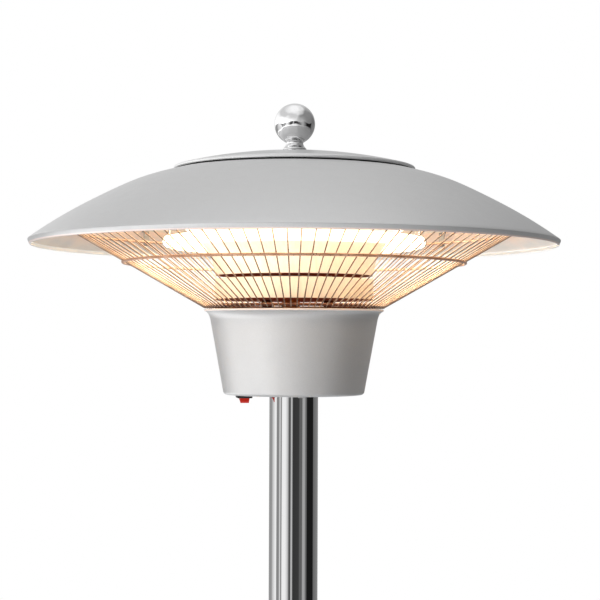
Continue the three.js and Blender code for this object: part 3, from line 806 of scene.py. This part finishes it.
def make_bell(bell_metal, brownish):
    """A bell that sweeps out from the drum's width to a nearly flat brim over the lamp."""
    low, rise, shoulder, brim, steps, r = 123.7, 64.0, 175.0, 222.0, 32, DRUM_RADIUS
    turns = [math.radians(180 - 90 * i / steps) for i in range(steps + 1)]
    sweep = [(shoulder + (shoulder - r) * math.cos(t), low + rise * math.sin(t)) for t in turns]
    flat = [(shoulder + (brim - shoulder) * t, low + rise - 7.0 * t * t) for t in (0.2, 0.4, 0.6, 0.8, 0.97)]
    lip = [(brim - 0.2, low + rise - 7.6)]
    face = [(0.0, low), (r - 4.0, low), (r - 0.8, low + 0.05)] + sweep[1:] + flat + lip
    outline = sheet(face, 1.0)
    # the bell's bottom takes painted shade with a faint painted glow
    under = [1 if step < 2 else 0 for step in range(len(outline))]
    bell = turned("bell_reflector", outline, [bell_metal, brownish], 192, under, BOWL_FLOOR)
    stand_for(bell, "reflector", "upper_reflector")


# ---------------------------------------------------------------- lamp
LAMP_CIRCLE = 131.0
LAMP_HEIGHT = 158.0
LAMP_GAP = 12.0  # degrees that the tube leaves open on each side of the back


def lamp_point(degrees, radius=LAMP_CIRCLE, lift=0.0):
    """A place on the lamp's circle, its angle counted from the front."""
    x, y = around(radius, degrees)
    return Vector((x, y, BOWL_FLOOR + LAMP_HEIGHT + lift))


def make_lamp(quartz, tungsten):
    """A ring lamp, open at the back: a clear tube with pinched ends round a fine coil."""
    steps, tube_radius, pinched, pinch = 160, 5.5, 3.2, 2.0
    span = 360 - 2 * LAMP_GAP
    path = [lamp_point(180 + LAMP_GAP + span * i / steps) for i in range(steps + 1)]

    def tube_size(t):
        near = min(t, 1 - t) * span
        if near > pinch:
            return tube_radius
        return pinched + (tube_radius - pinched) * math.sin(math.pi / 2 * near / pinch)

    bm = bmesh.new()
    add_tube(bm, path, tube_size, 20)
    tube = object_from(bm, "quartz_tube", [quartz])
    tube.visible_shadow = False
    stand_for(tube, "quartz", "lamp_tube")
    bm = bmesh.new()
    turns, per_turn, coil_radius, inset = 330, 7, 1.7, 2
    count = turns * per_turn
    coil = []
    for i in range(count + 1):
        degrees = 180 + LAMP_GAP + inset + (span - 2 * inset) * i / count
        phase = 2 * math.pi * i / per_turn
        out, lift = coil_radius * math.cos(phase), coil_radius * math.sin(phase)
        coil.append(lamp_point(degrees, LAMP_CIRCLE + out, lift))
    add_tube(bm, coil, 0.42, 4)
    winding = object_from(bm, "glowing_coil", [tungsten])
    winding.visible_shadow = False
    stand_for(winding, "tungsten", "lamp_filament")


def make_lamp_light():
    """The light that the ring lamp gives off, as small lights round its tube."""
    count, open_back = 40, 14
    for i in range(count):
        data = bpy.data.lights.new(f"lamp_light_{i}", "POINT")
        data.energy = 0.031
        data.color = (1.0, 0.85, 0.66)
        data.shadow_soft_size = 0.006
        light = bpy.data.objects.new(f"lamp_light_{i}", data)
        light.location = lamp_point(180 + open_back + (360 - 2 * open_back) * (i + 0.5) / count) * MM
        light.visible_camera = False
        bpy.context.scene.collection.objects.link(light)


def make_lamp_holders(white):
    """A ceramic holder on each end of the lamp: two cheeks and an end wall under a thick top."""
    width, depth, cheek, high = 17.6, 14.6, 4.0, 15.6
    for number, angle, end in ((1, 170.6, 1), (2, 189.4, -1)):
        place = Matrix.Translation(lamp_point(angle)) @ Matrix.Rotation(math.radians(angle), 4, "Z")
        bm = bmesh.new()
        add_block(bm, (width, depth, 9.4), (0, 0, 11.6), 0.8, 3, place)
        for y in (-5.2, 5.2):
            add_block(bm, (width, cheek, high), (0, y, -0.8), 0.8, 3, place)
        add_block(bm, (5.0, depth, high), (end * 6.3, 0, -0.8), 0.8, 3, place)
        stand_for(object_from(bm, f"lamp_holder_{number}", [white]), "ceramic", f"lamp_socket_{number}")


def make_lamp_clips(steel):
    """Spring clips of three wire rings under a strap, one on each side of the lamp."""
    grip, sides = 6.6, 28
    turns = [2 * math.pi * k / sides for k in range(sides)]
    for number, angle in ((1, -80.0), (2, 80.0)):
        place = Matrix.Translation(lamp_point(angle)) @ Matrix.Rotation(math.radians(angle), 4, "Z")
        bm = bmesh.new()
        for x in (-1.9, 0.0, 1.9):
            ring = [place @ Vector((x, grip * math.sin(t), grip * math.cos(t))) for t in turns]
            add_tube(bm, ring, 0.75, 6, closed=True)
        add_block(bm, (6.6, 1.4, 13.0), (0, 0, 13.4), 0.4, 2, place)
        stand_for(object_from(bm, f"lamp_spring_clip_{number}", [steel]), "zinc_steel", f"lamp_clip_{number}")


# ---------------------------------------------------------------- wire guard
WIRES = 100
GUARD_FOOT = Vector((93.4, 90.1))  # radius and height of a wire's foot, beside the bowl's lip
GUARD_TOP = Vector((231.4, 169.0))


def guard_point(share, offset=0.0):
    """A (radius, height) on a wire, from 0 at its foot to 1 at its top, or beside the wire by offset."""
    run = GUARD_TOP - GUARD_FOOT
    normal = Vector((run.y, -run.x)).normalized()
    return GUARD_FOOT + run * share + normal * offset


def make_guard(wire_tint_and_shade, hoop_tint_and_highlight, brownish, lamp_glow_side):
    """Nearly straight wires welded to three hoops. Faces turned to the lamp take a bright peach finish as
    painted lamp glow.
    """
    wire, sway, twist = 0.66, 0.25, math.radians(0.06)
    bm = bmesh.new()
    for i in range(WIRES):
        angle = 2 * math.pi * (i + 0.5) / WIRES - math.pi / 2
        uneven, askew = sway * math.sin(i * 12.9898), twist * math.sin(i * 7.31)
        path = []
        for share in (0.0, 0.3, 0.61, 0.8, 0.985, 1.0):
            p = guard_point(share)
            bulge = math.sin(math.pi * share)
            turn = angle + askew * bulge
            height = p.y + 0.3 * uneven * bulge + BOWL_FLOOR
            path.append(Vector((p.x * math.cos(turn), p.x * math.sin(turn), height)))
        add_tube(bm, path, wire, 8)
    for slot, share, offset, size in ((2, 0.010, -1.45, 1.6), (1, 0.61, 1.65, 1.5), (1, 1.0, 0.3, 1.5)):
        p = guard_point(share, offset)
        known = len(bm.faces)
        add_tube(bm, ring_path(p.x, p.y + BOWL_FLOOR, 200), size, 10, closed=True)
        bm.faces.ensure_lookup_table()
        for face in bm.faces[known:]:
            face.material_index = slot
    # slots: 0 wire, dark brown as heat tint and painted shade, 1 upper hoops, lighter as painted highlight, 2
    # the hoop at the bowl, dark as painted shade, 3 whatever faces the lamp, peach as painted lamp glow
    run = (GUARD_TOP - GUARD_FOOT).normalized()
    bmesh.ops.recalc_face_normals(bm, faces=bm.faces)
    for face in bm.faces:
        middle = face.calc_center_median()
        out = Vector((middle.x, middle.y, 0.0)).normalized()
        outward = out * run.y - Vector((0.0, 0.0, run.x))
        if face.normal.dot(outward) < -0.2 and face.material_index != 2:
            face.material_index = 3
    guard = object_from(bm, "guard_of_wires", [wire_tint_and_shade, hoop_tint_and_highlight, brownish, lamp_glow_side])
    stand_for(guard, "guard_wire", "wire_guard")


def make_guard_clips(steel):
    """Bent straps that hang the guard's top hoop from the shade."""
    half_wide, half_thick = 3.9, 0.6
    high = shade_height(GUARD_TOP.x + 5) - 1.9
    reach = -(GUARD_TOP.x + 3.3)
    line = [(reach + 5.6, 164.9), (reach + 3.0, 164.6), (reach + 1.0, 165.0), (reach, 166.2),
            (reach, 170.0), (reach, high - 1.2)]
    curve = smooth_line(line, 4)
    for i, step in enumerate((13, 37, 63, 87)):
        turn = Matrix.Rotation(math.radians(step * 360 / WIRES), 4, "Z")
        place = Matrix.Translation((0, 0, BOWL_FLOOR)) @ turn
        bm = bmesh.new()
        rows = []
        for k, (y, z) in enumerate(curve):
            y0, z0 = curve[max(k - 1, 0)]
            y1, z1 = curve[min(k + 1, len(curve) - 1)]
            length = math.hypot(y1 - y0, z1 - z0)
            ny, nz = (z1 - z0) / length * half_thick, -(y1 - y0) / length * half_thick
            corners = ((-half_wide, -1), (half_wide, -1), (half_wide, 1), (-half_wide, 1))
            rows.append([bm.verts.new(place @ Vector((x, y + s * ny, z + s * nz))) for x, s in corners])
        for low, up in zip(rows, rows[1:]):
            for k in range(4):
                after = (k + 1) % 4
                bm.faces.new((low[k], low[after], up[after], up[k]))
        bm.faces.new(rows[0][::-1])
        bm.faces.new(rows[-1])
        add_block(bm, (2 * half_wide, 5.0, 2 * half_thick), (0, reach - 2.0, high - 1.9), 0.35, 2, place)
        stand_for(object_from(bm, f"guard_hook_{i + 1}", [steel]), "zinc_steel", f"guard_clip_{i + 1}")


# ---------------------------------------------------------------- pole and base
BASE_FLOOR = 8.0  # height of the closing plate's underside


def make_pole(plate):
    """A chrome tube with a small chamfer at each end."""
    low, high, inner, chamfer = 28.1, BOWL_FLOOR + SHEET, 24.0, POLE_RADIUS - 0.2
    outline = [(inner, low), (chamfer, low), (POLE_RADIUS, low + 0.3)]
    outline += [(POLE_RADIUS, low + (high - low) * t) for t in (0.2, 0.4, 0.6, 0.8)]
    outline += [(POLE_RADIUS, high - 0.3), (chamfer, high), (inner, high)]
    stand_for(turned("pole_tube", outline, [plate], 128), "chrome", "pole")


def make_collar(plate):
    """A rounded collar that covers the joint of pole and foot."""
    bore, low = POLE_RADIUS + GAP, 50.3
    outline = [(bore, low), (36.6, low), (37.0, low + 0.4), (37.0, low + 2.4), (36.6, low + 2.9),
               (35.4, low + 3.2)]
    outline += arc(30.0, low + 4.2, 5.2, 0, 78, 8)
    outline += [(29.5, low + 10.4), (28.6, low + 11.4), (27.2, low + 11.7), (bore, low + 11.4)]
    stand_for(turned("pole_foot_collar", outline, [plate], 96), "chrome", "pole_collar")


def make_base_dome(paint):
    """A pressed cover with a rounded edge that rises to the pole."""
    low = BASE_FLOOR
    face = [(154.0, low), (154.6, low + 1.2)] + arc(143.0, low + 8, 12.0, -18, 78, 16)
    crown = smooth_line([face[-1], (128.0, low + 22.8), (110.0, low + 25.7), (88.0, low + 29.4),
                         (66.0, low + 33.6), (46.0, low + 37.8), (33.0, low + 41.4), (27.4, low + 41.9)], 6)
    outline = sheet(face + crown[1:], SHEET)
    stand_for(turned("base_dome", outline, [paint], 192), "silver_paint", "base_cover")


def make_base_plate(steel):
    """A thin disc that closes the foot, held by six screws."""
    low, high, screws = BASE_FLOOR, BASE_FLOOR + SHEET, 6
    bm = bmesh.new()
    add_turned(bm, [(0.0, low), (147.6, low), (148.6, low + 0.4), (149.0, high), (0.0, high)], 128)
    for i in range(screws):
        x, y = around(100.0, 30 + i * 360 / screws)
        add_cross_screw(bm, x, y, low - 0.05, 3.6)
    stand_for(object_from(bm, "base_closing_plate", [steel]), "zinc_steel", "base_plate")


def make_gland(black):
    """A moulded inlet gland with a ribbed nose and grips round its collar, lying on its side."""
    bore, ribs, grips = 3.8, 2, 12
    outline = [(bore, -14), (6, -14), (6, 0.2), (6.6, 0.4), (7.0, 4.2)]
    for i in range(ribs):
        outline += [(6.6 - 0.1 * i, 5.4 + 1.2 * i), (6.9 - 0.1 * i, 6.0 + 1.2 * i)]
    outline += [(6.4, 7.8), (6.2, 8.8), (5.6, 9.0), (bore, 9.0)]
    bm = bmesh.new()
    add_turned(bm, outline, 48)
    for k in range(grips):
        turn = Matrix.Rotation(2 * math.pi * k / grips, 4, "Z")
        add_block(bm, (2.2, 2.6, 3.8), (7.6, 0, 2.1), 0.5, 2, turn)
    lay = Matrix.Translation((0, 156.5, 17.0)) @ Matrix.Rotation(-math.pi / 2, 4, "X")
    bmesh.ops.transform(bm, matrix=lay, verts=bm.verts)
    stand_for(object_from(bm, "lead_gland", [black]), "black_plastic", "cable_gland")


def make_feet(material):
    """Moulded rubber feet with a grooved side and a dished middle."""
    outline = [(0.0, 0.9), (5.6, 0.9), (6.2, 0.1), (7.0, 0.0), (9.8, 0.0), (10.8, 0.5), (11.0, 1.4),
               (10.7, 3.0), (10.2, 3.3), (10.2, 3.9), (10.5, 4.3), (9.9, 7.2), (9.4, 7.7), (0.0, 7.7)]
    for i in range(4):
        x, y = around(128.0, 45 + 90 * i)
        bm = bmesh.new()
        add_turned(bm, outline, 64)
        bmesh.ops.translate(bm, vec=(x, y, 0), verts=bm.verts)
        stand_for(object_from(bm, f"moulded_foot_{i + 1}", [material]), "rubber", f"rubber_foot_{i + 1}")


# ---------------------------------------------------------------- CAD nodes that stay
def finish_cad_nodes(materials, special):
    """The inner and small pieces keep their CAD shape, softened at the edges, with their own finish."""
    slot_of = {row["node"]: row["material_slot"] for row in frame["record"]["subparts"]}
    for node, obj in frame["nodes"].items():
        if obj.hide_render:
            continue
        obj.data.materials.clear()
        family = node.rstrip("_0123456789")
        obj.data.materials.append(special.get(family, materials[slot_of[node]]))
        soften = obj.modifiers.new("soften", "BEVEL")
        soften.width = 0.00025
        soften.segments = 2
        soften.limit_method = "ANGLE"
        soften.angle_limit = math.radians(50)


def main():
    """Camera, stage and view first, then the heater from the shade down to its feet."""
    make_camera()
    make_world()
    make_floor()
    bpy.context.scene.view_settings.view_transform = "Standard"

    paint = silver_paint()
    inner = satin_lining()
    plate = chrome()
    steel = zinc()
    black = moulded_plastic("black_moulding", (0.012, 0.012, 0.013))
    white = ceramic()
    # black for the shade's seat and the cap's underside: painted shade in the gap under the cap
    dark = moulded_plastic("painted_shade_black", (0.012, 0.012, 0.012), 0.7)
    # lighter copies of the paint: the rim's inner wall as painted highlight, the rim's foot pink as painted
    # lamp glow
    rim_wall_highlight = silver_paint("rim_wall_painted_highlight", 0.92, (0.90, 0.98, 1.06), 0.15)
    rim_foot = silver_paint("rim_foot_painted_glow", 0.82, (1.08, 0.92, 0.87))
    make_shade([paint, rim_wall_highlight, rim_foot], inner, dark)
    # the cap's rim takes a lighter copy of the paint as painted highlight
    make_cap(paint, dark, silver_paint("cap_edge_painted_highlight", 0.80))
    make_finial(plate, chrome("cast_chrome", 0.85, 0.05, 0.0026))
    # the lip's bead takes a lighter pink copy of the paint as painted lamp glow
    make_bowl(paint, silver_paint("lip_bead_painted_glow", 0.95, (1.10, 0.95, 0.88), 0.3))
    lit, frame_red = lit_red(), moulded_plastic("dark_red_moulding", (0.09, 0.004, 0.003), 0.3)
    make_bezel(black)
    make_rocker(lit, frame_red)
    make_bowl_screws(steel)
    # dark brown for the bowl's lid and the rod spacers: painted shade under the drum
    brownish = painted_shade_steel()
    # the reflectors' peach tint is partly heat tint and partly painted lamp light
    drum_metal, bell_metal = reflector_metal("drum_metal", 0.86), reflector_metal("bell_metal", 0.85)
    # painted shade with a faint painted red glow for the drum's and the bell's undersides
    shade_and_glow_steel = painted_shade_steel("underside_painted_shade_and_glow", 1.0, 0.055)
    make_drum(drum_metal, shade_and_glow_steel)
    make_bell(bell_metal, shade_and_glow_steel)
    quartz = glowing("hot_quartz", (1.0, 0.84, 0.56), 0.92, alpha=0.72)
    tungsten = glowing("hot_tungsten", (1.0, 0.90, 0.66), 1.8)
    make_lamp(quartz, tungsten)
    make_lamp_light()
    make_lamp_holders(white)
    make_lamp_clips(steel)
    # wires: heat tint with painted shade; hoops lighter as painted highlight; lamp-facing faces peach as
    # painted lamp glow; the bowl's hoop dark as painted shade
    wire_shades = ((0.16, 0.095, 0.06), (0.28, 0.185, 0.13), (0.50, 0.41, 0.33))
    hoop_shades = ((0.46, 0.23, 0.13), (0.66, 0.39, 0.26), (0.82, 0.62, 0.50))
    lamp_glow_shades = ((0.88, 0.58, 0.39), (0.95, 0.70, 0.51), (1.0, 0.83, 0.68))
    make_guard(wire_tint_and_glow("wire_tint_and_shade", 0.7, wire_shades),
               wire_tint_and_glow("hoop_tint_and_highlight", 0.6, hoop_shades),
               painted_shade_steel("hoop_painted_shade", 0.8),
               wire_tint_and_glow("wire_painted_lamp_glow", 0.25, lamp_glow_shades))
    make_guard_clips(steel)
    make_pole(plate)
    make_collar(plate)
    make_base_dome(paint)
    make_base_plate(steel)
    make_gland(black)
    make_feet(rubber())
    finish_cad_nodes({
        "silver_paint": paint, "chrome": plate, "zinc_steel": steel, "cast_iron": cast_iron(),
        "rubber": rubber("rubber"), "black_plastic": black, "red_plastic": black, "reflector": plate,
        "guard_wire": plate, "quartz": quartz, "tungsten": tungsten, "ceramic": white,
    }, {
        # the bowl's lid and the rod spacers take painted shade
        "rod_spacer": brownish, "bowl_lid": brownish, "lead_sleeve": silicone_sleeve(),
    })


main()
